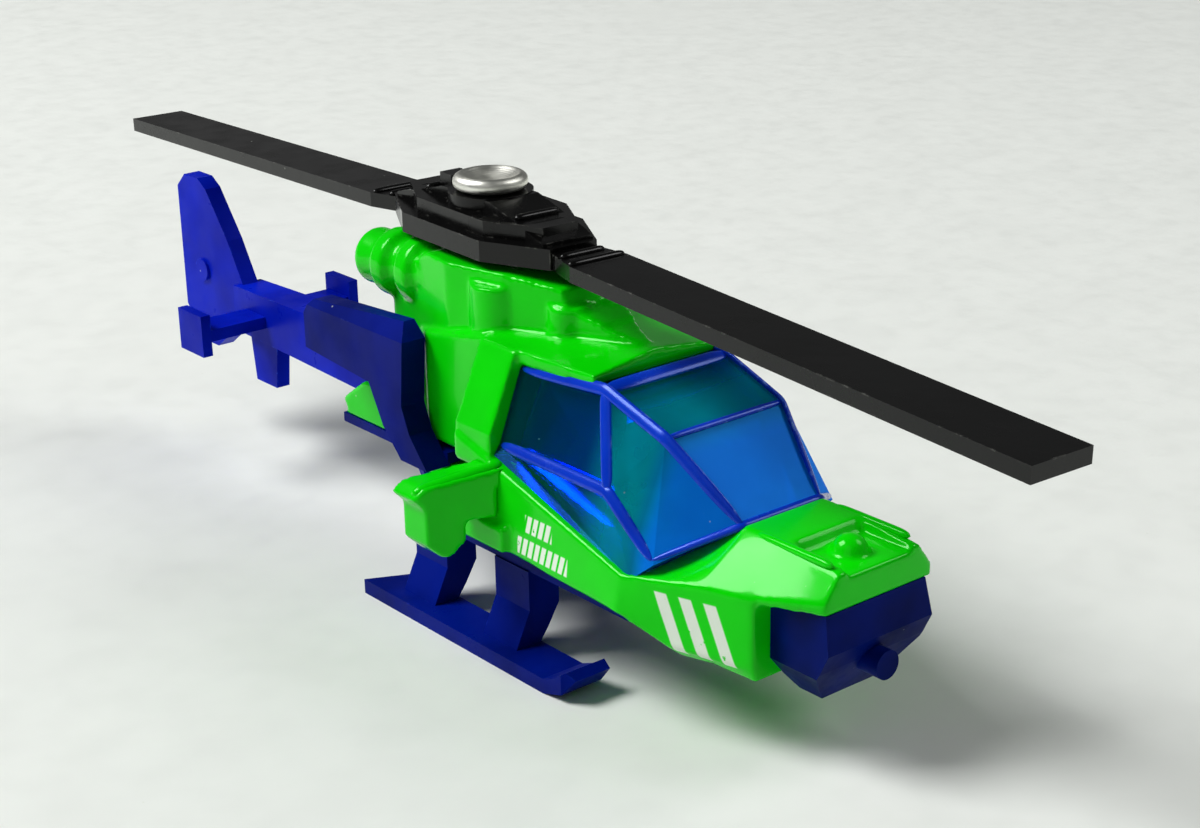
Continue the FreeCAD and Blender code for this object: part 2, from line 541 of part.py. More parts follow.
def make_cockpit(glazing):
    """Crew tray: a floor with two seats in line, an instrument panel and a control stick."""
    floor_z = "well_z + tray_thick"
    parts = [block("tray_floor", "-tray_half", "tray_half", "panel_y - panel_deep",
                   "well_rear_y - tray_gap", "well_z", floor_z)]
    for place, rise in (("rear", "rear_seat_rise"), ("front", "0")):
        back = f"{place}_seat_y"
        parts.append(block(f"{place}_seat", "-seat_half", "seat_half", f"{back} - seat_deep",
                           back, "well_z", f"{floor_z} + seat_high + {rise}"))
        parts.append(block(f"{place}_seat_back", "-seat_half", "seat_half",
                           f"{back} - seat_back_deep", back, "well_z",
                           f"{floor_z} + seat_back_high + {rise}"))
    parts.append(prism("panel", "side", "-panel_half", "panel_half", [
        ("panel_y - panel_deep", "well_z"), ("panel_y", "well_z"),
        ("panel_y - edge_round", f"{floor_z} + panel_high"),
        ("panel_y - panel_deep", f"{floor_z} + panel_high - edge_round")]))
    parts.append(rod("stick", "stick_radius", "z", ("0", "panel_y + panel_deep"), "well_z",
                     f"{floor_z} + stick_high"))
    node("cockpit_tray", cut("tray_trimmed", join("tray", parts), glazing))


def make_base():
    """Base plate under the casting, stepped up behind, and the two posts that hold it."""
    side = prism("base_side", "side", "-base_half", "base_half", [
        ("base_front_y", "base_z"), ("base_step_y", "base_z"), ("base_rise_y", "base_rear_z"),
        ("cone_y", "base_rear_z"), ("cone_y", "cone_z"), ("core_rise_y", "cone_z"),
        ("core_mid_y", "belly_z"), ("base_front_y", "belly_z")])
    plan = prism("base_plan", "plan", "base_z", "cone_z", both([
        ("base_half", "base_front_y"), ("base_half", "base_waist_y"),
        ("base_waist_half", "base_waist_y + edge_round"),
        ("base_waist_half", "core_mid_y"), ("cone_half", "core_rise_y"),
        ("cone_half", "cone_y")]))
    plate = meet("base_plate", [side, plan])
    holes = [rod(f"post_hole_{end}", "post_radius", "z", ("0", f"{end}_rivet_y"),
                 "base_z - edge_round", "cone_z + edge_round") for end in ("front", "rear")]
    node("belly_base", cut("base", plate, join("post_holes", holes)))
    posts = []
    for end, face in (("front", "base_z"), ("rear", "base_rear_z")):
        post = doc.addObject("PartDesign::Body", f"post_{end}")
        turn(post, f"post_{end}_turned", [
            ("0", f"{face} - post_head_thick"), ("post_head - edge_round",
                                                 f"{face} - post_head_thick"),
            ("post_head", face), ("post_radius", face), ("post_radius", f"{end}_post_z"),
            ("0", f"{end}_post_z")])
        post.Placement = FreeCAD.Placement(Vector(0, size(f"{end}_rivet_y"), 0),
                                           FreeCAD.Rotation())
        posts.append(post)
    pair = doc.addObject("Part::Compound", "posts")
    pair.Links = posts
    node("base_rivets", pair)


def make_chin():
    """Chin turret under the nose lip with its stub barrel."""
    side = prism("chin_side", "side", "-chin_half", "chin_half", [
        ("cheek_y", "lip_foot_z"), ("cheek_y", "chin_heel_z"),
        ("cheek_y - edge_round", "chin_keel_z"), ("chin_keel_y", "chin_keel_z"),
        ("chin_brow_y", "chin_face_z"), ("chin_front_y", "chin_mid_z"),
        ("lip_y", "lip_foot_z")])
    face = prism("chin_face", "front", "chin_front_y", "cheek_y", both([
        ("chin_half - edge_round", "lip_foot_z"), ("chin_half", "chin_mid_z"),
        ("chin_half", "chin_side_z"), ("chin_keel_half", "chin_keel_z")]))
    socket = rod("barrel_socket", "barrel_radius", "y", ("0", "barrel_z"), "chin_front_y",
                 "barrel_root_y")
    turret = cut("turret", meet("turret_block", [side, face]), socket)
    node("chin_turret", cut("turret_seated", turret, doc.getObject("shell")))
    node("turret_barrel", rod("barrel", "barrel_radius", "y", ("0", "barrel_z"), "barrel_y",
                              "barrel_root_y"))


def make_skids():
    """Ski skids: a flat runner with an upturned toe on two struts that splay outward."""
    profile = prism("ski_profile", "side", "-ski_out", "-ski_in", [
        ("ski_tail_out_y", "0"), ("ski_bend_y", "0"), ("ski_rise_y", "ski_rise_z"),
        ("ski_tip_y", "ski_tip_z"), ("ski_curl_y", "ski_curl_z"),
        ("ski_scoop_y", "ski_scoop_z"), ("ski_bend_y", "ski_thick"),
        ("ski_tail_out_y", "ski_thick")])
    plan = prism("ski_plan", "plan", "0", "ski_curl_z", [
        ("-ski_out", "ski_tail_out_y"), ("-ski_out", "ski_rise_y"),
        ("-ski_out + edge_round", "ski_tip_y"), ("-ski_in", "ski_tip_y"),
        ("-ski_in", "ski_tail_in_y")])
    parts = [meet("ski", [profile, plan])]
    for place in ("rear", "front"):
        start = f"{place}_strut_y"
        parts.append(prism(f"{place}_strut", "front", f"{start} - strut_long", start, [
            ("-strut_out", "base_z"), ("-strut_out", "strut_knee_z"),
            ("-strut_foot_out", "ski_thick"), ("-strut_foot_in", "ski_thick"),
            ("-strut_ankle", "strut_ankle_z"), ("-strut_in", "strut_knee_z"),
            ("-strut_in", "base_z")]))
    skid = node("skid_starboard", join("skid", parts))
    node("skid_port", mirror("skid_mirror", skid))


def make_rotor():
    """Hub plates and two drooped blades that turn together on the rivet."""
    hub = doc.addObject("PartDesign::Body", "hub_body")
    for name, low, high, long, wide, end in (
            ("hub_deck", "hub_z", "hub_deck_z", "hub_half_long", "hub_half_wide",
             "hub_end_half"),
            ("hub_cap", "hub_deck_z", "hub_cap_z", "hub_cap_long", "hub_cap_wide",
             "hub_cap_end")):
        port = [(end, f"-{long}"), (wide, f"-{long} * 0.5"), (wide, f"{long} * 0.5"),
                (end, long)]
        pad(hub, name, "plan", low, high, both(port))
    rise = hub.newObject("PartDesign::Pad", "hub_boss")
    rise.Profile = ring(hub, "boss_outline", "hub_cap_z", "hub_boss_radius")
    rise.setExpression("Length", bind("hub_boss_z - hub_cap_z"))
    doc.recompute()
    pad(hub, "saddle", "side", "-saddle_half", "saddle_half", [
        ("-saddle_end_y", "hub_deck_z - edge_round"), ("-saddle_end_y", "saddle_end_z"),
        ("-saddle_y", "saddle_z"), ("saddle_y", "saddle_z"), ("saddle_end_y", "saddle_end_z"),
        ("saddle_end_y", "hub_deck_z - edge_round")])
    pad(hub, "lug", "plan", "hub_deck_z", "lug_z", [
        ("-lug_half", "lug_y"), ("lug_half", "lug_y"), ("lug_half", "lug_y + lug_long"),
        ("-lug_half", "lug_y + lug_long")])
    solid_volume = hub.Shape.Volume
    bore = ring(hub, "bore_outline", "hub_z - edge_round", "hub_bore_radius")
    hole = hub.newObject("PartDesign::Pocket", "hub_bore")
    hole.Profile = bore
    hole.Reversed = True
    hole.setExpression("Length", bind("hub_boss_z - hub_z + edge_round * 2"))
    doc.recompute()
    if hub.Shape.Volume >= solid_volume:
        raise RuntimeError("the hub's bore cut nothing")
    rest = FreeCAD.Rotation(Vector(0, 0, 1), size("rotor_set"))
    hub.Placement = FreeCAD.Placement(Vector(), rest)
    node("rotor_hub", hub)
    for end, sign in (("fore", "-"), ("aft", "")):
        blade = doc.addObject("PartDesign::Body", f"blade_{end}")
        stations = [("blade_neck", "blade_start"), ("blade_neck", "blade_neck_y"),
                    ("blade_chord", "blade_full_y"), ("blade_chord", "rotor_radius")]
        port = [(f"{wide} * 0.5", f"{sign}{along}") for wide, along in stations]
        pad(blade, f"blade_{end}_pad", "plan", "-blade_thick * 0.5", "blade_thick * 0.5",
            both(port))
        droop = size("blade_droop") if end == "fore" else -size("blade_droop")
        tilt = FreeCAD.Rotation(Vector(1, 0, 0), droop)
        blade.Placement = FreeCAD.Placement(Vector(0, 0, size("blade_root_z")), rest * tilt)
        node(f"rotor_blade_{end}", cut(f"blade_{end}_root", blade, hub))


def make_rivet():
    """Rivet that the rotor turns on: a domed head with a dished centre, shank in the cowl."""
    rivet = doc.addObject("PartDesign::Body", "rivet_body")
    under = "hub_boss_z + rivet_gap"
    turn(rivet, "rivet_turned", [
        ("0", "rivet_foot_z"), ("rivet_shank_radius", "rivet_foot_z"),
        ("rivet_shank_radius", under), ("rivet_head_radius", under),
        ("rivet_head_radius", f"{under} + rivet_rim"),
        ("rivet_head_radius - rivet_rim", "rivet_top_z - rivet_rim * 0.5"),
        ("rivet_dimple + rivet_rim", "rivet_top_z"), ("rivet_dimple", "rivet_top_z"),
        ("0", "rivet_top_z - rivet_rim")])
    node("rotor_rivet", rivet)


def make_tail():
    """Tail boom with fin, heel, ventral tab and tailplane with its end plates."""
    boom = loft("boom", "front", [
        (level, both([(half, top), (half, low)]))
        for level, half, top, low in (
            ("boom_front_y", "boom_half", "boom_top_z", "boom_z"),
            ("cone_y", "boom_half", "boom_top_z", "boom_z"),
            ("boom_end_y", "boom_end_half", "boom_end_top_z", "boom_end_z"))])
    fin = prism("fin", "side", "-fin_half", "fin_half", [
        ("fin_root_y", "boom_end_top_z"), ("fin_kink_y", "fin_kink_z"),
        ("fin_brow_y", "fin_brow_z"), ("fin_top_y", "fin_top_z"), ("fin_back_y", "fin_top_z"),
        ("fin_rear_y", "fin_rear_z"), ("fin_rear_y", "fin_heel_z"), ("heel_y", "heel_z"),
        ("heel_front_y", "heel_z"), ("notch_y", "boom_end_z"), ("fin_root_y", "boom_end_z")])
    tail_hub = rod("tail_hub", "tail_hub_radius", "x", ("tail_hub_y", "tail_hub_z"),
                   "-fin_half - tail_hub_high", "fin_half + tail_hub_high")
    tab = prism("tab", "side", "-tab_half", "tab_half", [
        ("tab_rear_y", "boom_end_z + edge_round"), ("tab_rear_y - tab_taper", "tab_z"),
        ("tab_front_y + tab_taper", "tab_z"), ("tab_front_y", "boom_end_z + edge_round")])
    spine = join("tail_spine", [boom, tab])
    node("tail_boom", spine)
    node("tail_fin", cut("fin_seated", join("fin_solid", [fin, tail_hub]), spine))
    plane = block("tail_wing", "-plate_out", "0", "plane_front_y", "plane_rear_y",
                  "plane_z", "plane_z + plane_thick")
    plate = block("end_plate", "-plate_out", "-plane_half", "plate_front_y",
                  "plate_rear_y", "plate_z", "plate_top_z")
    wing = node("tailplane_starboard",
                cut("tailplane_seated", join("tailplane_solid", [plane, plate]), spine))
    node("tailplane_port", mirror("tailplane_mirror", wing))


def make_arms():
    """Exhaust arms beside the cowl and the yoke that carries them with the boom."""
    side = prism("arm_side", "side", "-arm_out", "-arm_in", [
        ("arm_rear_y", "arm_low_z"), ("arm_rear_y", "arm_rear_z"), ("arm_brow_y", "arm_brow_z"),
        ("arm_elbow_y", "arm_top_z"), ("arm_front_y", "arm_front_z"),
        ("arm_throat_y", "arm_throat_z"), ("arm_shin_y", "arm_shin_z"),
        ("arm_toe_y", "arm_foot_z"), ("arm_heel_y", "arm_foot_z"),
        ("arm_calf_y", "arm_calf_z"), ("arm_knee_y", "arm_knee_z")])
    face = prism("arm_face", "front", "arm_toe_y", "arm_rear_y", [
        ("-arm_in", "arm_top_z"), ("-arm_out + arm_bevel", "arm_top_z"),
        ("-arm_out", "arm_top_z - arm_bevel"), ("-arm_out", "arm_foot_z"),
        ("-arm_in", "arm_foot_z")])
    bore = block("arm_bore", "-arm_out + arm_wall", "-arm_in - arm_wall",
                 "arm_rear_y - arm_bore_deep", "arm_rear_y + arm_wall",
                 "arm_low_z + arm_wall", "arm_rear_z - arm_wall * 0.5")
    arm = node("exhaust_arm_starboard", cut("arm", meet("arm_solid", [side, face]), bore))
    node("exhaust_arm_port", mirror("arm_mirror", arm))
    yoke = block("yoke_bar", "-arm_in", "arm_in", "yoke_front_y", "yoke_rear_y", "yoke_z",
                 "yoke_z + yoke_thick")
    node("tail_yoke", cut("yoke", yoke, doc.getObject("tail_spine")))


def check_and_write():
    """Stop on any failed object, then write each sub-part to its own file."""
    doc.recompute()
    failed = [item.Name for item in doc.Objects
              if {"Invalid", "Error"} & set(item.State)]
    for label, item in NODES.items():
        if item.Shape.isNull() or not item.Shape.isValid() or not item.Shape.Solids:
            failed.append(label)
    if failed:
        raise RuntimeError("failed: " + ", ".join(failed))
    os.makedirs("parts", exist_ok=True)
    for label, item in NODES.items():
        item.Shape.exportStep(f"parts/{label}.step")
        box = item.Shape.BoundBox
        print(f"{label:26s} solids {len(item.Shape.Solids)} volume {item.Shape.Volume:8.2f} "
              f"x {box.XMin:6.2f} {box.XMax:6.2f} y {box.YMin:6.2f} {box.YMax:6.2f} "
              f"z {box.ZMin:6.2f} {box.ZMax:6.2f}")


casting = make_shell()
make_wings(casting)
make_cockpit(make_canopy(casting))
make_base()
make_chin()
make_skids()
make_rotor()
make_rivet()
make_tail()
make_arms()
check_and_write()
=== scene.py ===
import logging
import math
from dataclasses import dataclass
from enum import Enum

import bpy
import numpy as np
from mathutils import Matrix, Vector


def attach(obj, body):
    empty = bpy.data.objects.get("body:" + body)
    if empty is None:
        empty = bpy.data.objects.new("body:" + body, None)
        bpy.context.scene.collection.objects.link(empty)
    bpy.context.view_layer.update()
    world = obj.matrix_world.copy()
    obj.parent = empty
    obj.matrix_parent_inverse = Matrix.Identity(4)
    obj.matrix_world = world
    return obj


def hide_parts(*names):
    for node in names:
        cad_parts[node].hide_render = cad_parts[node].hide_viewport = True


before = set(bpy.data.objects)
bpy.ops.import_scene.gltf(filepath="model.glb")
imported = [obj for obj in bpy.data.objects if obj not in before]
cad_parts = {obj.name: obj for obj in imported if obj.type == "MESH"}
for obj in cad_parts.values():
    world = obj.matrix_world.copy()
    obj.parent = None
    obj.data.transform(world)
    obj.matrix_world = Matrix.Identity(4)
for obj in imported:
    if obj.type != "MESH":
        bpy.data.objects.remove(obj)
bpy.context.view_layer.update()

# A pocket-size toy helicopter.  Sizes in the classes below are millimetres on the packed
# frame's axes: the nose points to -Y, port is +X, up is +Z, the ground is z = 0.
MM = 0.001
log = logging.getLogger("toy_helicopter")
Socket = bpy.types.NodeSocket


class Side(Enum):
    """Sides of the toy, as the sign of X."""

    STARBOARD = -1
    PORT = 1


class Edge(Enum):
    """How softly the edges of a node run, as (grid in mm, smoothing passes)."""

    CAST = (0.168, 2)
    MOULDED = (0.13, 3)


def linear(colour: str) -> tuple[float, float, float, float]:
    """Turn an sRGB colour into scene-linear values.

    Args:
        colour: six hex digits after a hash.

    Returns:
        Linear red, green, blue and an alpha of one.
    """
    coded = np.array([int(colour[i:i + 2], 16) for i in (1, 3, 5)]) / 255.0
    value = np.where(coded <= 0.04045, coded / 12.92, ((coded + 0.055) / 1.055) ** 2.4)
    return (*value.tolist(), 1.0)


def per_mm(wavelength: float) -> float:
    """Texture scale on Object coordinates (metres) for a pattern.

    Args:
        wavelength: size of the pattern's features in mm.

    Returns:
        Features per metre.
    """
    return 1.0 / (wavelength * MM)


def add(tree: bpy.types.NodeTree, kind: str, inputs: dict | None = None,
        **settings: object) -> bpy.types.Node:
    """Add one shader node.

    Args:
        tree: node tree that receives it.
        kind: class name after "ShaderNode".
        inputs: socket name or index to a value, or to a socket to link from.
        settings: plain properties of the node.

    Returns:
        The new node.
    """
    item = tree.nodes.new("ShaderNode" + kind)
    for key, value in settings.items():
        setattr(item, key, value)
    for key, value in (inputs or {}).items():
        if isinstance(value, Socket):
            tree.links.new(value, item.inputs[key])
        else:
            item.inputs[key].default_value = value
    return item


def sums(tree: bpy.types.NodeTree, operation: str, *values: object) -> Socket:
    """One arithmetic step on numbers or sockets.

    Args:
        tree: node tree that receives it.
        operation: name of the Math node's operation.
        values: its operands in order.

    Returns:
        The result's socket.
    """
    return add(tree, "Math", dict(enumerate(values)), operation=operation).outputs[0]


def ramp(tree: bpy.types.NodeTree, value: Socket, low: float, high: float,
         start: float = 0.0, end: float = 1.0) -> Socket:
    """Smooth step of a value from start (at low) to end (at high).

    Args:
        tree: node tree that receives it.
        value: socket that is mapped.
        low: value that gives start.
        high: value that gives end.
        start: result below low.
        end: result above high.

    Returns:
        The result's socket.
    """
    return add(tree, "MapRange", {"Value": value, "From Min": low, "From Max": high,
                                  "To Min": start, "To Max": end},
               interpolation_type="SMOOTHSTEP").outputs["Result"]


def band(tree: bpy.types.NodeTree, value: Socket, low: float, high: float,
         blur: float) -> Socket:
    """One between low and high, zero outside, with soft ends.

    Args:
        tree: node tree that receives it.
        value: socket that is tested.
        low: lower end.
        high: upper end.
        blur: width of each end's ramp.

    Returns:
        The mask's socket.
    """
    rise = ramp(tree, value, low - blur, low + blur)
    fall = ramp(tree, value, high - blur, high + blur, 1.0, 0.0)
    return sums(tree, "MULTIPLY", rise, fall)


def noise(tree: bpy.types.NodeTree, place: Socket, wavelength: float, detail: float = 3.0,
          stretch: tuple[float, float, float] = (1.0, 1.0, 1.0)) -> Socket:
    """Fractal noise at a real size.

    Args:
        tree: node tree that receives it.
        place: Object coordinates.
        wavelength: size of the largest features in mm.
        detail: octaves.
        stretch: scale of the coordinates along each axis.

    Returns:
        The noise's factor.
    """
    scaled = add(tree, "Mapping", {"Vector": place, "Scale": stretch}).outputs["Vector"]
    return add(tree, "TexNoise", {"Vector": scaled, "Scale": per_mm(wavelength),
                                  "Detail": detail, "Roughness": 0.55}).outputs[0]


def specks(tree: bpy.types.NodeTree, place: Socket, spacing: float, radius: float,
           share: float) -> Socket:
    """Scattered round specks of dust or chipping.

    Args:
        tree: node tree that receives it.
        place: Object coordinates.
        spacing: distance between neighbouring cells in mm.
        radius: radius of a speck as a share of the spacing.
        share: share of the cells that hold a speck.

    Returns:
        A mask that is one inside the specks.
    """
    cells = add(tree, "TexVoronoi", {"Vector": place, "Scale": per_mm(spacing)})
    tone = add(tree, "SeparateColor", {"Color": cells.outputs["Color"]}).outputs[0]
    chosen = sums(tree, "LESS_THAN", tone, share)
    dot = ramp(tree, cells.outputs["Distance"], radius * 0.5, radius, 1.0, 0.0)
    return sums(tree, "MULTIPLY", dot, chosen)


def blend(tree: bpy.types.NodeTree, share: object, first: object, second: object) -> Socket:
    """Mix of two colours.

    Args:
        tree: node tree that receives it.
        share: amount of the second colour.
        first: socket, or sRGB hex text.
        second: socket, or sRGB hex text.

    Returns:
        The mixed colour.
    """
    ends = [linear(item) if isinstance(item, str) else item for item in (first, second)]
    return add(tree, "MixRGB", {"Fac": share, "Color1": ends[0],
                                "Color2": ends[1]}).outputs["Color"]


@dataclass(frozen=True)
class Finish:
    """A moulded, cast or turned surface.

    Attributes:
        name: real material and process.
        colour: main sRGB colour.
        shade: sRGB colour in its deeper patches.
        roughness: mean roughness.
        ior: index of refraction.
        coat: strength of a clear top layer.
        wave: wavelength of the surface's slow unevenness in mm.
        relief: height of that unevenness in mm.
        grain: wavelength of its fine texture in mm.
        rub_and_highlight_tone: sRGB colour painted along the edges: partly real rubbing, partly a
            painted edge highlight.
        rub_and_highlight_share: share of the edges that take that colour.
        dust: share of the surface's cells that hold a speck of dust.
        metallic: one for bare metal.
        glow: share of light that scatters under the surface.
        sheen: sRGB tint of the reflection seen square on.
        shine: specular level; half is the plain value for the index of refraction.
        patch_size: wavelength of the change between colour and shade in mm.
        gloss_size: wavelength of the change in roughness in mm.
        edge_break_size: wavelength of the breaks in a rubbed edge in mm.
        edge_radius: how far from an edge the rubbing reaches in mm.
        speck_gap: distance between neighbouring specks of dust in mm.
        dust_tone: sRGB colour of the dust.
    """

    name: str
    colour: str
    shade: str
    roughness: float = 0.3
    ior: float = 1.49
    coat: float = 0.0
    wave: float = 1.6
    relief: float = 0.012
    grain: float = 0.12
    rub_and_highlight_tone: str = "#8f938c"
    rub_and_highlight_share: float = 0.3
    dust: float = 0.12
    metallic: float = 0.0
    glow: float = 0.0
    sheen: str = "#ffffff"
    shine: float = 0.5
    patch_size: float = 7.0
    gloss_size: float = 2.4
    # edge_break_size: wavelength of the breaks in that edge colour in mm.         edge_radius: how far from an edge the rubbing and painted edge highlight reach in mm.
    edge_break_size: float = 0.7
    edge_radius: float = 0.16
    speck_gap: float = 0.9
    dust_tone: str = "#d9dcd2"

    def layers(self, tree: bpy.types.NodeTree, place: Socket, colour: Socket,
               rough: Socket) -> tuple[Socket, Socket]:
        """Print or extra layers over the base; the plain finish has none.

        Args:
            tree: node tree that receives them.
            place: Object coordinates.
            colour: colour so far.
            rough: roughness so far.

        Returns:
            Colour and roughness with the layers on.
        """
        return colour, rough

    def height(self, tree: bpy.types.NodeTree, place: Socket) -> Socket:
        """Height of the surface in mm.

        Args:
            tree: node tree that receives it.
            place: Object coordinates.

        Returns:
            Slow unevenness and fine grain added together.
        """
        slow = sums(tree, "MULTIPLY", noise(tree, place, self.wave, 2.0), self.relief)
        fine = sums(tree, "MULTIPLY", noise(tree, place, self.grain, 4.0), self.relief * 0.25)
        return sums(tree, "ADD", slow, fine)

    def build(self) -> bpy.types.Material:
        """Make the material.

        Returns:
            A node material on Object coordinates.
        """
        material = bpy.data.materials.new(self.name)
        material.use_nodes = True
        tree = material.node_tree
        tree.nodes.clear()
        place = add(tree, "TexCoord").outputs["Object"]
        patch = ramp(tree, noise(tree, place, self.patch_size, 3.0), 0.38, 0.66)
        colour = blend(tree, patch, self.colour, self.shade)
        rough = ramp(tree, noise(tree, place, self.gloss_size, 4.0), 0.3, 0.7,
                     self.roughness * 0.75, self.roughness * 1.3)
        colour, rough = self.layers(tree, place, colour, rough)
        true = add(tree, "NewGeometry").outputs["Normal"]
        round_normal = add(tree, "Bevel", {"Radius": self.edge_radius * MM},
                           samples=4).outputs[0]
        facing = add(tree, "VectorMath", {0: true, 1: round_normal}, operation="DOT_PRODUCT")
        # Edges, inner and outer alike, take a lighter colour: partly real rubbing, partly a
        # painted edge highlight.
        edge = ramp(tree, facing.outputs["Value"], 0.90, 0.995, 1.0, 0.0)
        broken = ramp(tree, noise(tree, place, self.edge_break_size, 5.0), 0.66 - self.rub_and_highlight_share * 0.3,
                      0.72)
        rub_and_highlight = sums(tree, "MULTIPLY", edge, broken)
        colour = blend(tree, rub_and_highlight, colour, self.rub_and_highlight_tone)
        grit = sums(tree, "MULTIPLY", specks(tree, place, self.speck_gap, 0.1,
                                              self.dust), 0.45)
        colour = blend(tree, grit, colour, self.dust_tone)
        rough = sums(tree, "MAXIMUM", rough, sums(tree, "MULTIPLY", grit, 0.9))
        bump = add(tree, "Bump", {"Height": self.height(tree, place), "Distance": MM,
                                  "Strength": 1.0})
        shader = add(tree, "BsdfPrincipled", {
            "Base Color": colour, "Roughness": rough, "IOR": self.ior,
            "Metallic": self.metallic, "Coat Weight": self.coat, "Coat Roughness": 0.06,
            "Specular Tint": linear(self.sheen), "Specular IOR Level": self.shine,
            "Subsurface Weight": self.glow, "Subsurface Scale": 0.4 * MM,
            "Normal": bump.outputs["Normal"]})
        add(tree, "OutputMaterial", {"Surface": shader.outputs["BSDF"]})
        return material


@dataclass(frozen=True)
class PrintedEnamel(Finish):
    """Sprayed enamel with generic white marks printed on both sides.

    Attributes:
        ink: sRGB colour of the print.
        pitch: half the spacing of the dashes in mm.
        upper: lowest and highest z, then foremost and rearmost y, of the upper row.
        lower: the same for the lower row.
        tall: lowest and highest z of the marks beside the nose.
        stripes: foremost and rearmost y of each slanted stripe beside the nose.
        lean: y that a stripe moves aft for each mm of height.
        blur: softness of the print's edges in mm.
    """

    ink: str = "#f2f6ee"
    pitch: float = 0.27
    upper: tuple[float, float, float, float] = (8.35, 9.35, -14.2, -11.9)
    lower: tuple[float, float, float, float] = (6.95, 7.95, -15.6, -11.2)
    tall: tuple[float, float] = (4.9, 8.1)
    stripes: tuple[tuple[float, float], ...] = ((-25.9, -25.2), (-24.5, -23.8), (-23.1, -22.4))
    lean: float = 0.35
    blur: float = 0.05

    def layers(self, tree: bpy.types.NodeTree, place: Socket, colour: Socket,
               rough: Socket) -> tuple[Socket, Socket]:
        """Two rows of dashes on the sills, and slanted stripes beside the nose.

        Args:
            tree: node tree that receives them.
            place: Object coordinates.
            colour: colour so far.
            rough: roughness so far.

        Returns:
            Colour and roughness with the print on.
        """
        axes = add(tree, "SeparateXYZ", {"Vector": place})
        across, along, up = (sums(tree, "MULTIPLY", axes.outputs[i], 1 / MM) for i in range(3))
        outer = ramp(tree, sums(tree, "ABSOLUTE", across), 4.2, 4.4)
        slant = sums(tree, "ADD", along, sums(tree, "MULTIPLY", up, 0.25))
        dash = ramp(tree, sums(tree, "PINGPONG", slant, self.pitch), 0.06, 0.12)
        boxes = [sums(tree, "MULTIPLY", band(tree, up, low, high, self.blur),
                      band(tree, along, fore, rear, self.blur))
                 for low, high, fore, rear in (self.upper, self.lower)]
        rows = sums(tree, "MULTIPLY", dash, sums(tree, "MAXIMUM", *boxes))
        slope = sums(tree, "MULTIPLY", up, -self.lean)
        middle = sum(self.tall) * self.lean / 2
        upright = sums(tree, "ADD", sums(tree, "ADD", along, slope), middle)
        masks = [band(tree, upright, *span, self.blur) for span in self.stripes]
        shapes = sums(tree, "MAXIMUM", masks[0], sums(tree, "MAXIMUM", *masks[1:]))
        nose = sums(tree, "MULTIPLY", band(tree, up, *self.tall, self.blur), shapes)
        mark = sums(tree, "MULTIPLY", outer, sums(tree, "MAXIMUM", rows, nose))
        whole = ramp(tree, noise(tree, place, 0.5, 5.0), 0.28, 0.36)
        mark = sums(tree, "MULTIPLY", mark, whole)
        return (blend(tree, sums(tree, "MULTIPLY", mark, 0.92), colour, self.ink),
                sums(tree, "ADD", rough, sums(tree, "MULTIPLY", mark, 0.2)))


@dataclass(frozen=True)
class TurnedMetal(Finish):
    """Bright metal with rings left by the heading tool round the mast axis.

    Attributes:
        metallic: one, because the plating is bare metal.
        pitch: distance between rings in mm.
        ring_height: half the height of a ring in mm.
    """

    metallic: float = 1.0
    pitch: float = 0.16
    ring_height: float = 0.0016

    def height(self, tree: bpy.types.NodeTree, place: Socket) -> Socket:
        """Height of the rings in mm: h = a sin(2 pi r / pitch).

        Args:
            tree: node tree that receives it.
            place: Object coordinates.

        Returns:
            Rings plus the plain finish's grain.
        """
        flat = add(tree, "VectorMath", {0: place, 1: (1.0, 1.0, 0.0)}, operation="MULTIPLY")
        radius = add(tree, "VectorMath", {0: flat.outputs[0]}, operation="LENGTH")
        turn = sums(tree, "MULTIPLY", radius.outputs["Value"], 2 * math.pi * per_mm(self.pitch))
        rings = sums(tree, "MULTIPLY", sums(tree, "SINE", turn), self.ring_height)
        return sums(tree, "ADD", rings, Finish.height(self, tree, place))


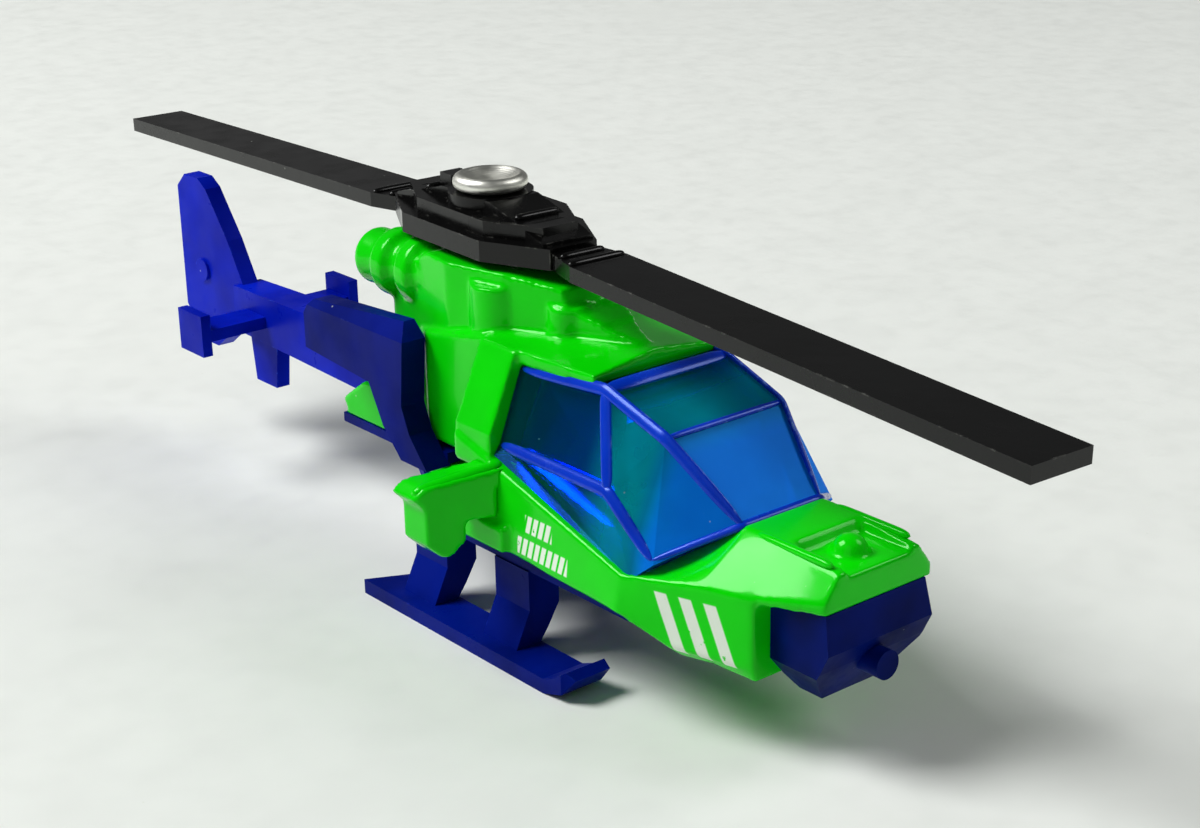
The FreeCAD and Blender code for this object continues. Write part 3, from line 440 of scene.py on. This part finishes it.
@dataclass(frozen=True)
class TintedPane:
    """Clear tinted plastic as a thin pane.

    Attributes:
        name: real material and process.
        tint: sRGB colour that one surface lets through.
        body: sRGB colour of the haze in the foremost pane.
        brow_body: sRGB colour of the haze behind it, where the green tray shows through.
        haze: share of light that one face scatters beside the crew.
        brow_haze: the same in the upper windscreen.
        nose_haze: the same in the foremost pane, where the plastic is thickest.
        roughness: roughness of the moulded faces.
    """

    name: str = "polystyrene_injection_moulded_blue_tint"
    tint: str = "#75d3f8"
    body: str = "#0a86ff"
    brow_body: str = "#08c0d0"
    haze: float = 0.05
    brow_haze: float = 0.4
    nose_haze: float = 0.8
    roughness: float = 0.17

    def build(self) -> bpy.types.Material:
        """Make the material.

        Returns:
            A node material: Fresnel gloss over a tinted pane with some haze.
        """
        material = bpy.data.materials.new(self.name)
        material.use_nodes = True
        tree = material.node_tree
        tree.nodes.clear()
        place = add(tree, "TexCoord").outputs["Object"]
        slow = sums(tree, "MULTIPLY", noise(tree, place, 3.0, 2.0), 0.006)
        fine = sums(tree, "MULTIPLY", noise(tree, place, 0.25, 3.0), 0.0015)
        bump = add(tree, "Bump", {"Height": sums(tree, "ADD", slow, fine), "Distance": MM})
        normal = bump.outputs["Normal"]
        along = add(tree, "SeparateXYZ", {"Vector": place}).outputs[1]
        brow = ramp(tree, along, -18.2 * MM, -15.2 * MM, self.brow_haze, self.haze)
        nose = ramp(tree, along, -21.2 * MM, -19.2 * MM, 1.0, 0.0)
        front = sums(tree, "MAXIMUM", brow, sums(tree, "MULTIPLY", nose, self.nose_haze))
        patch = sums(tree, "MULTIPLY", front, ramp(tree, noise(tree, place, 5.0, 3.0),
                                                   0.35, 0.7, 0.85, 1.06))
        grit = sums(tree, "MULTIPLY", specks(tree, place, 1.0, 0.07, 0.15), 0.4)
        clear = add(tree, "BsdfTransparent", {"Color": linear(self.tint)}).outputs[0]
        hue = blend(tree, nose, self.brow_body, self.body)
        tone = blend(tree, grit, hue, "#dfe8f2")
        solid = add(tree, "BsdfDiffuse", {"Color": tone, "Normal": normal}).outputs[0]
        inner = add(tree, "BsdfTranslucent", {"Color": tone, "Normal": normal}).outputs[0]
        murk = add(tree, "MixShader", {0: 0.2, 1: solid, 2: inner}).outputs[0]
        share = sums(tree, "MAXIMUM", patch, grit)
        pane = add(tree, "MixShader", {0: share, 1: clear, 2: murk}).outputs[0]
        gloss = add(tree, "BsdfGlossy", {"Color": linear("#3a8cff"), "Normal": normal,
                                         "Roughness": self.roughness}).outputs[0]
        mirror = add(tree, "Fresnel", {"IOR": 1.4, "Normal": normal}).outputs[0]
        whole = add(tree, "MixShader", {0: mirror, 1: pane, 2: gloss}).outputs[0]
        add(tree, "OutputMaterial", {"Surface": whole})
        return material


# Each worn colour below is painted on every edge: partly rubbing, partly a painted edge
# highlight; the rivet's white and the ridges' pale blue are painted highlights.
ENAMEL = PrintedEnamel("zinc_diecast_sprayed_green_enamel", "#08dc04", "#06d004", 0.2, 1.5,
                       0.2, wave=2.6, relief=0.010, grain=0.3, rub_and_highlight_tone="#5cf562", rub_and_highlight_share=0.2,
                       dust=0.04, sheen="#8cff8c", shine=0.22)
SKID_BLUE = Finish("abs_injection_moulded_dark_blue", "#021880", "#010f62", 0.36, 1.45,
                   relief=0.008, rub_and_highlight_tone="#1f38b0", rub_and_highlight_share=0.3, sheen="#2448ff", shine=0.08)
CHIN_BLUE = Finish("abs_injection_moulded_night_blue", "#02166a", "#010f4c", 0.38, 1.45,
                   relief=0.008, rub_and_highlight_tone="#1a2f80", rub_and_highlight_share=0.3, sheen="#2448ff", shine=0.08)
# The same blue plastic as the exhaust arms, painted lighter: painted light standing in for light
# shining through the thin fin and tailplanes.
TAIL_BLUE = Finish("abs_injection_moulded_royal_blue", "#0620c0", "#0416a0", 0.36, 1.45,
                   relief=0.008, rub_and_highlight_tone="#2450e8", rub_and_highlight_share=0.3, glow=0.15, sheen="#2448ff", shine=0.08)
ARM_BLUE = Finish("abs_injection_moulded_deep_blue", "#02157c", "#010f60", 0.4, 1.45,
                  relief=0.008, rub_and_highlight_tone="#24308c", rub_and_highlight_share=0.3, sheen="#2448ff", shine=0.08)
BLACK = Finish("nylon_injection_moulded_black", "#090909", "#060606", 0.22, 1.45,
               wave=1.2, relief=0.008, rub_and_highlight_tone="#5c5c58", rub_and_highlight_share=0.45, dust=0.05, shine=0.35)
RIVET = TurnedMetal("zinc_plated_steel_headed", "#fbfbf6", "#eeeee4", 0.42, 1.5, relief=0.01,
                    rub_and_highlight_tone="#ffffff", dust=0.03)
CREW_GREEN = Finish("polystyrene_injection_moulded_green", "#38ff78", "#24d860", 0.45, 1.5)
GLASS = TintedPane()
RIDGE = Finish("polystyrene_blue_tint_solid_ridge", "#0638c8", "#042cb0", 0.22, 1.55, 0.1,
               relief=0.015, rub_and_highlight_tone="#8fc4ff", rub_and_highlight_share=0.5, dust=0.05, glow=0.2, sheen="#80a8ff")
PAPER = Finish("matt_coated_card_table", "#e8ebe6", "#e5e8e3", 0.8, 1.4, wave=6.0,
               relief=0.01, grain=0.35, rub_and_highlight_share=0.0, dust=0.01)


def enclosed(points: np.ndarray, quads: np.ndarray, caps: tuple[list[int], ...]) -> float:
    """Six times the volume inside a closed surface, negative if it is inside out.

    Each face is cut into triangles from its first corner, and each triangle adds
    a . (b x c).

    Args:
        points: (n, 3) corners.
        quads: (m, 4) corner numbers.
        caps: corner numbers of each end cap.

    Returns:
        The signed sum.
    """
    a, b, c, d = (points[quads[:, corner]] for corner in range(4))
    total = float((a * (np.cross(b, c) + np.cross(c, d))).sum())
    for cap in caps:
        rim = points[cap[1:]]
        total += float((np.cross(rim[:-1], rim[1:]) @ points[cap[0]]).sum())
    return total


def skin(name: str, grid: np.ndarray, material: bpy.types.Material,
         body: str) -> bpy.types.Object:
    """Closed surface through rings of points, capped at both ends.

    The face between ring i and i + 1 and columns j and j + 1 (mod m) is
    (i m + j, i m + j', (i + 1) m + j', (i + 1) m + j), j' = (j + 1) mod m.

    Args:
        name: name of the piece.
        grid: (n, m, 3) points in mm, n rings of m points.
        material: its finish.
        body: CAD body that it rides on.

    Returns:
        The finished object.
    """
    rings, count, _ = grid.shape
    row, column = np.meshgrid(np.arange(rings - 1), np.arange(count), indexing="ij")
    after = (column + 1) % count
    quads = np.stack([row * count + column, row * count + after,
                      (row + 1) * count + after, (row + 1) * count + column], axis=-1)
    first = list(range(count))[::-1]
    last = list(range((rings - 1) * count, rings * count))
    faces = quads.reshape(-1, 4).tolist() + [first, last]
    mesh = bpy.data.meshes.new(name)
    mesh.from_pydata((grid.reshape(-1, 3) * MM).tolist(), [], faces)
    mesh.update()
    if enclosed(grid.reshape(-1, 3), quads.reshape(-1, 4), (first, last)) < 0:
        mesh.flip_normals()
    mesh.shade_smooth()
    mesh.materials.append(material)
    piece = bpy.data.objects.new(name, mesh)
    bpy.context.scene.collection.objects.link(piece)
    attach(piece, body)
    log.info("%s: %d faces", name, len(mesh.polygons))
    return piece


def sweep(path: np.ndarray, wide: float, high: float, up: np.ndarray,
          steps: int = 24, gap: float = 0.12, rounds: int = 6) -> np.ndarray:
    """Rounded bar along a path.

    P(s, t) = C(s) + w(s) cos(t) U(s) / 2 + h(s) sin(t) V(s) / 2, where C is the path, V the
    up direction made square to it, U = T x V, and w and h fall as (1 - q^8)^(1/2) toward
    both ends, q running from -1 to 1.

    Args:
        path: (k, 3) corners of the path in mm.
        wide: width in mm.
        high: height in mm.
        up: (3,) direction of the height.
        steps: points round the bar.
        gap: distance between rings in mm.
        rounds: passes that round the path's corners.

    Returns:
        (n, steps, 3) grid of points.
    """
    leg = np.linalg.norm(np.diff(path, axis=0), axis=1)
    reach = np.concatenate([[0.0], np.cumsum(leg)])
    count = max(12, int(reach[-1] / gap))
    along = np.linspace(0.0, reach[-1], count)
    centre = np.stack([np.interp(along, reach, path[:, axis]) for axis in range(3)], axis=1)
    for _ in range(rounds):
        centre[1:-1] = (centre[:-2] + 2 * centre[1:-1] + centre[2:]) / 4
    tangent = np.gradient(centre, axis=0)
    tangent /= np.linalg.norm(tangent, axis=1, keepdims=True)
    rise = up - tangent * (tangent @ up)[:, None]
    rise /= np.linalg.norm(rise, axis=1, keepdims=True)
    beside = np.cross(tangent, rise)
    q = np.linspace(-0.995, 0.995, count)
    swell = np.sqrt(1.0 - q ** 8)[:, None, None]
    angle = np.linspace(0.0, 2 * math.pi, steps, endpoint=False)
    ring = (np.cos(angle)[None, :, None] * beside[:, None, :] * wide / 2
            + np.sin(angle)[None, :, None] * rise[:, None, :] * high / 2)
    return centre[:, None, :] + ring * swell


def lathe(profile: np.ndarray, centre: tuple[float, float], steps: int = 96) -> np.ndarray:
    """Turned surface about an upright axis.

    P(s, t) = (x0 + r(s) cos(t), y0 + r(s) sin(t), z(s)).

    Args:
        profile: (n, 2) radius and height in mm.
        centre: x and y of the axis in mm.
        steps: points round the axis.

    Returns:
        (n, steps, 3) grid of points.
    """
    angle = np.linspace(0.0, 2 * math.pi, steps, endpoint=False)
    radius, height = profile[:, 0][:, None], profile[:, 1][:, None]
    return np.stack([centre[0] + radius * np.cos(angle), centre[1] + radius * np.sin(angle),
                     np.broadcast_to(height, (len(profile), steps))], axis=-1)


def soften(node: bpy.types.Object, edge: Edge) -> None:
    """Round every edge of a CAD node the way a mould or a coat of paint does.

    Args:
        node: the node's object.
        edge: grid size and smoothing passes.
    """
    grid, passes = edge.value
    remesh = node.modifiers.new("even_grid", "REMESH")
    remesh.mode = "VOXEL"
    remesh.voxel_size = grid * MM
    remesh.use_smooth_shade = True
    smooth = node.modifiers.new("round_edges", "SMOOTH")
    smooth.factor = 0.5
    smooth.iterations = passes


def bevel(node: bpy.types.Object, width: float) -> None:
    """Chamfer the sharp edges of a CAD node.

    Args:
        node: the node's object.
        width: width of the chamfer in mm.
    """
    plain = node.modifiers.new("whole_faces", "DECIMATE")
    plain.decimate_type = "DISSOLVE"
    plain.angle_limit = math.radians(1.5)
    cut = node.modifiers.new("edge_radius", "BEVEL")
    cut.width = width * MM
    cut.segments = 3
    cut.limit_method = "ANGLE"
    cut.angle_limit = math.radians(20)
    cut.harden_normals = True


def dress(node_name: str, material: bpy.types.Material) -> bpy.types.Object:
    """Give a CAD node its finish.

    Args:
        node_name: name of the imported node.
        material: its finish.

    Returns:
        The node's object.
    """
    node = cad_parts[node_name]
    node.data.materials.clear()
    node.data.materials.append(material)
    return node


@dataclass
class Hull:
    """Enamelled casting with its stub wings and the raised rims beside the nose step.

    Attributes:
        enamel: finish of the casting.
        rim_x: half the distance between the rims in mm.
        rim_start: y where each rim begins.
        rim_end: y where it ends.
        rim_z: height of its middle.
        rim_size: width and height of a rim.
        rail: root and tip of the rail on the port wing, mirrored to starboard.
        rail_size: width and height of a rail.
    """

    enamel: bpy.types.Material
    rim_x: float = 2.75
    rim_start: float = -25.4
    rim_end: float = -30.7
    rim_z: float = 11.26
    rim_size: tuple[float, float] = (0.5, 0.5)
    rail: tuple[tuple[float, float, float], ...] = ((6.6, -9.1, 11.3), (11.5, -7.3, 10.3))
    rail_size: tuple[float, float] = (0.9, 0.8)

    def build(self) -> None:
        """Dress the cast nodes and add the rails and rims."""
        up = np.array([0.0, 0.0, 1.0])
        soften(dress("fuselage_shell", self.enamel), Edge.CAST)
        for side in Side:
            hand = side.name.lower()
            soften(dress(f"stub_wing_{hand}", self.enamel), Edge.CAST)
            rail = np.array(self.rail) * (side.value, 1, 1)
            skin(f"wing_rail_{hand}", sweep(rail, *self.rail_size, up), self.enamel, "airframe")
            x = self.rim_x * side.value
            rim = np.array([[x, self.rim_start, self.rim_z], [x, self.rim_end, self.rim_z]])
            skin(f"nose_rim_{hand}", sweep(rim, *self.rim_size, up), self.enamel, "airframe")


@dataclass
class Canopy:
    """Tinted glazing with its moulded ridges, and the crew tray inside.

    Attributes:
        glass: finish of the panes.
        ridge: finish of the raised pane edges.
        crew: finish of the tray.
        roof: rear upper corner of the port panes in mm.
        screen: front of the roof.
        crease: bend of the windscreen.
        base: foot of the windscreen.
        belt: front of the waist line.
        belt_rear: rear of the waist line.
        foot: front lower corner.
        ridge_size: width and height of a side ridge.
        pane_edge: chamfer of the panes' edges.
    """

    glass: bpy.types.Material
    ridge: bpy.types.Material
    crew: bpy.types.Material
    roof: tuple[float, float, float] = (4.6, -8.6, 16.3)
    screen: tuple[float, float, float] = (4.35, -15.4, 16.8)
    crease: tuple[float, float, float] = (4.2, -20.0, 15.3)
    base: tuple[float, float, float] = (2.8, -24.3, 11.4)
    belt: tuple[float, float, float] = (6.25, -17.7, 12.25)
    belt_rear: tuple[float, float, float] = (6.25, -8.6, 12.25)
    foot: tuple[float, float, float] = (6.45, -21.4, 9.6)
    ridge_size: tuple[float, float] = (0.7, 0.3)
    pane_edge: float = 0.12

    def build(self) -> None:
        """Dress the glazing and the tray, then lay the ridges along the pane edges."""
        bevel(dress("canopy_glazing", self.glass), self.pane_edge)
        soften(dress("cockpit_tray", self.crew), Edge.MOULDED)
        corner = {name: np.array(getattr(self, name)) for name in
                  ("roof", "screen", "crease", "base", "belt", "belt_rear", "foot")}
        twin = {name: point * (-1, 1, 1) for name, point in corner.items()}
        runs = {
            "roof_ridge": ("roof", "screen", "crease", "base"),
            "belt_ridge": ("belt_rear", "belt", "foot"),
            "door_ridge": ("screen", "belt"),
        }
        for side, points in ((Side.PORT, corner), (Side.STARBOARD, twin)):
            out = np.array([side.value * 0.8, -0.25, 0.5])
            for name, stops in runs.items():
                path = np.array([points[stop] for stop in stops])
                skin(f"canopy_{name}_{side.name.lower()}",
                     sweep(path, *self.ridge_size, out), self.ridge, "airframe")
        bars = {
            "canopy_crease_bar": (("crease",), 0.4, 0.25),
            "canopy_brow_bar": (("screen",), 0.9, 0.3),
            "canopy_screen_foot": (("foot", "base"), 0.5, 0.35),
        }
        for name, (stops, wide, high) in bars.items():
            path = np.array([corner[stop] for stop in stops]
                            + [twin[stop] for stop in stops[::-1]])
            skin(name, sweep(path, wide, high, np.array([0.0, -0.5, 1.0])), self.ridge,
                 "airframe")


@dataclass
class Rotor:
    """Two blades on a hub, held by a rivet with a dished head.

    Attributes:
        plastic: finish of the hub and blades.
        metal: finish of the rivet.
        head_radius: radius of the rivet's head in mm.
        head_z: underside of the head.
        crown_z: top of its roll.
        shank_radius: radius of its shank.
        shank_z: foot of its shank.
        neck_radius: radius where the shank meets the head.
        dish: depth of the head's middle.
        rest_turn: angle of the rotor at rest in degrees.
        ribs: each cross rib's distance from the axis, half-length and height in mm.
        rib_size: width and height of a rib's section.
        edge: chamfer of the hub's and blades' edges.
    """

    plastic: bpy.types.Material
    metal: bpy.types.Material
    head_radius: float = 2.2
    head_z: float = 24.06
    crown_z: float = 24.95
    shank_radius: float = 1.02
    shank_z: float = 18.3
    neck_radius: float = 1.3
    dish: float = 0.55
    rest_turn: float = -3.0
    ribs: tuple[tuple[float, float, float], ...] = (
        (4.6, 1.5, 23.42), (5.7, 1.35, 23.12), (8.9, 1.5, 22.12), (10.2, 1.9, 22.07))
    rib_size: tuple[float, float] = (0.55, 0.42)
    edge: float = 0.16

    def head_profile(self) -> np.ndarray:
        """Half-section of the rivet: shank, rolled head and dished middle.

        The roll is r = R - c + c cos(a), z = z0 + c + c sin(a) with a from -90 to 90
        degrees, then z falls as z1 - d (1 - (r / r1)^2) to the middle of the dish.

        Returns:
            (n, 2) radius and height in mm.
        """
        curl = (self.crown_z - self.head_z) / 2
        angle = np.radians(np.linspace(-90, 90, 24))
        roll = np.stack([self.head_radius - curl + curl * np.cos(angle),
                         self.head_z + curl + curl * np.sin(angle)], axis=1)
        inner = self.head_radius - curl
        radius = np.linspace(inner, 0.02, 30)[1:]
        hollow = self.crown_z - self.dish * (1 - (radius / inner) ** 2)
        shank = np.array([[self.shank_radius, self.shank_z],
                          [self.shank_radius, self.head_z - 0.02],
                          [self.neck_radius, self.head_z]])
        return np.concatenate([shank, roll, np.stack([radius, hollow], axis=1)])

    def rib(self, end: int, reach: float, half: float, level: float) -> np.ndarray:
        """Cross rib over the hub or a blade root, turned with the rotor.

        A path from (-half, y) to (half, y) is turned by the rest angle about the mast.

        Args:
            end: -1 toward the nose, 1 toward the tail.
            reach: distance from the mast in mm.
            half: half its length in mm.
            level: height of its middle in mm.

        Returns:
            Grid of points.
        """
        turn = math.radians(self.rest_turn)
        across = np.array([-half, 0.0, half])
        along = np.full(3, end * reach)
        path = np.stack([across * math.cos(turn) - along * math.sin(turn),
                         across * math.sin(turn) + along * math.cos(turn),
                         np.full(3, level)], axis=1)
        return sweep(path, *self.rib_size, np.array([0.0, 0.0, 1.0]))

    def build(self) -> None:
        """Dress the hub and blades, lay the ribs and turn the rivet."""
        for name in ("rotor_hub", "rotor_blade_fore", "rotor_blade_aft"):
            bevel(dress(name, self.plastic), self.edge)
        for end, label in ((-1, "fore"), (1, "aft")):
            for count, sizes in enumerate(self.ribs):
                skin(f"hub_rib_{label}_{count}", self.rib(end, *sizes), self.plastic, "rotor")
        dress("rotor_rivet", self.metal)
        rivet = skin("rotor_rivet_headed", lathe(self.head_profile(), (0.0, 0.0)),
                     self.metal, "airframe")
        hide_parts("rotor_rivet")


@dataclass
class Mouldings:
    """Plain moulded nodes under one finish.

    Attributes:
        finish: their material.
        names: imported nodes.
        radius: chamfer of their edges in mm.
    """

    finish: bpy.types.Material
    names: tuple[str, ...]
    radius: float = 0.3

    def build(self) -> None:
        """Dress each node and chamfer its edges."""
        for name in self.names:
            bevel(dress(name, self.finish), self.radius)
            log.info("dressed %s", name)


@dataclass
class Studio:
    """Pale table, soft lamps and the camera.

    Attributes:
        table: finish of the table.
        reach: half the table's width in metres.
        panels: faces along each side of the table.
        yaw: heading of the camera in degrees from +X toward +Y.
        pitch: degrees that it looks down.
        roll: degrees that it is turned about its line of sight.
        lens: focal length in mm on a 36 mm sensor.
        spot: place of the camera in mm.
        lamps: each soft box's name, place in metres, width in metres and power in watts.
    """

    table: bpy.types.Material
    reach: float = 1.2
    panels: int = 60
    yaw: float = 50.78
    pitch: float = 20.47
    roll: float = -1.15
    lens: float = 65.8
    spot: tuple[float, float, float] = (-73.29, -99.38, 55.99)
    lamps: tuple[tuple[str, tuple[float, float, float], float, float], ...] = (
        ("key_soft_box", (-0.376, 0.336, 0.62), 0.36, 6.6),
        ("side_soft_box", (-0.30, -0.20, 0.30), 0.30, 0.1),
        ("front_soft_box", (0.42, -0.26, 0.50), 0.30, 1.25),
    )

    def floor(self) -> None:
        """Flat table: z = 0 over an even grid of x and y."""
        rows = self.panels + 1
        span = np.linspace(-self.reach, self.reach, rows)
        across, along = np.meshgrid(span, span, indexing="ij")
        points = np.stack([across, along, np.zeros_like(along)], axis=-1).reshape(-1, 3)
        row, column = np.meshgrid(np.arange(self.panels), np.arange(self.panels),
                                  indexing="ij")
        start = row * rows + column
        faces = np.stack([start, start + rows, start + rows + 1, start + 1], axis=-1)
        faces = faces.reshape(-1, 4)
        mesh = bpy.data.meshes.new("table_top")
        mesh.from_pydata(points.tolist(), [], faces.tolist())
        mesh.materials.append(self.table)
        mesh.update()
        table = bpy.data.objects.new("table_top", mesh)
        bpy.context.scene.collection.objects.link(table)

    def lamp(self, name: str, place: tuple[float, float, float], size: float,
             watts: float) -> None:
        """Square soft box aimed at the toy.

        Args:
            name: name of the lamp.
            place: its position in metres.
            size: its edge in metres.
            watts: its power.
        """
        light = bpy.data.lights.new(name, "AREA")
        light.shape = "SQUARE"
        light.size = size
        light.energy = watts
        lamp = bpy.data.objects.new(name, light)
        spot = Vector(place)
        aim = (Vector((0.0, -0.005, 0.01)) - spot).to_track_quat("-Z", "Y").to_matrix()
        lamp.matrix_world = Matrix.Translation(spot) @ aim.to_4x4()
        bpy.context.scene.collection.objects.link(lamp)

    def sky(self) -> None:
        """Pale surroundings, brighter near the horizon than overhead."""
        world = bpy.data.worlds.new("pale_room")
        world.use_nodes = True
        tree = world.node_tree
        tree.nodes.clear()
        up = add(tree, "SeparateXYZ", {
            "Vector": add(tree, "TexCoord").outputs["Generated"]}).outputs[2]
        tone = blend(tree, ramp(tree, up, 0.0, 0.8), "#ffffff", "#a4a8a6")
        light = add(tree, "Background", {"Color": tone, "Strength": 0.13})
        add(tree, "OutputWorld", {"Surface": light.outputs[0]})
        bpy.context.scene.world = world

    def camera(self) -> None:
        """Camera at the front starboard quarter, looking a little down."""
        yaw, pitch, roll = (math.radians(a) for a in (self.yaw, self.pitch, self.roll))
        look = Vector((math.cos(pitch) * math.cos(yaw), math.cos(pitch) * math.sin(yaw),
                       -math.sin(pitch)))
        right = look.cross(Vector((0, 0, 1))).normalized()
        up = right.cross(look)
        level = math.cos(roll) * right + math.sin(roll) * up
        upright = math.cos(roll) * up - math.sin(roll) * right
        data = bpy.data.cameras.new("camera")
        data.lens = self.lens
        data.sensor_width = 36.0
        data.clip_start = 0.005
        camera = bpy.data.objects.new("camera", data)
        turn = Matrix((level, upright, -look)).transposed().to_4x4()
        camera.matrix_world = Matrix.Translation(Vector(self.spot) * MM) @ turn
        bpy.context.scene.collection.objects.link(camera)
        bpy.context.scene.camera = camera
        bpy.context.scene.view_settings.view_transform = "Standard"

    def build(self) -> None:
        """Put up the table, lamps, surroundings and camera."""
        self.floor()
        for sizes in self.lamps:
            self.lamp(*sizes)
        self.sky()
        self.camera()


def main() -> None:
    """Build the toy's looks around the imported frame."""
    logging.basicConfig(level=logging.INFO, format="%(name)s %(message)s")
    Hull(ENAMEL.build()).build()
    Canopy(GLASS.build(), RIDGE.build(), CREW_GREEN.build()).build()
    rivet = RIVET.build()
    Rotor(BLACK.build(), rivet).build()
    Mouldings(SKID_BLUE.build(), ("skid_starboard", "skid_port", "belly_base")).build()
    Mouldings(CHIN_BLUE.build(), ("chin_turret", "turret_barrel"), 0.4).build()
    Mouldings(TAIL_BLUE.build(), ("tail_boom", "tail_fin", "tailplane_starboard",
                                  "tailplane_port")).build()
    Mouldings(ARM_BLUE.build(), ("exhaust_arm_starboard", "exhaust_arm_port",
                                 "tail_yoke")).build()
    Mouldings(rivet, ("base_rivets",), 0.1).build()
    Studio(PAPER.build()).build()
    bpy.context.view_layer.update()


if __name__ == "__main__":
    main()
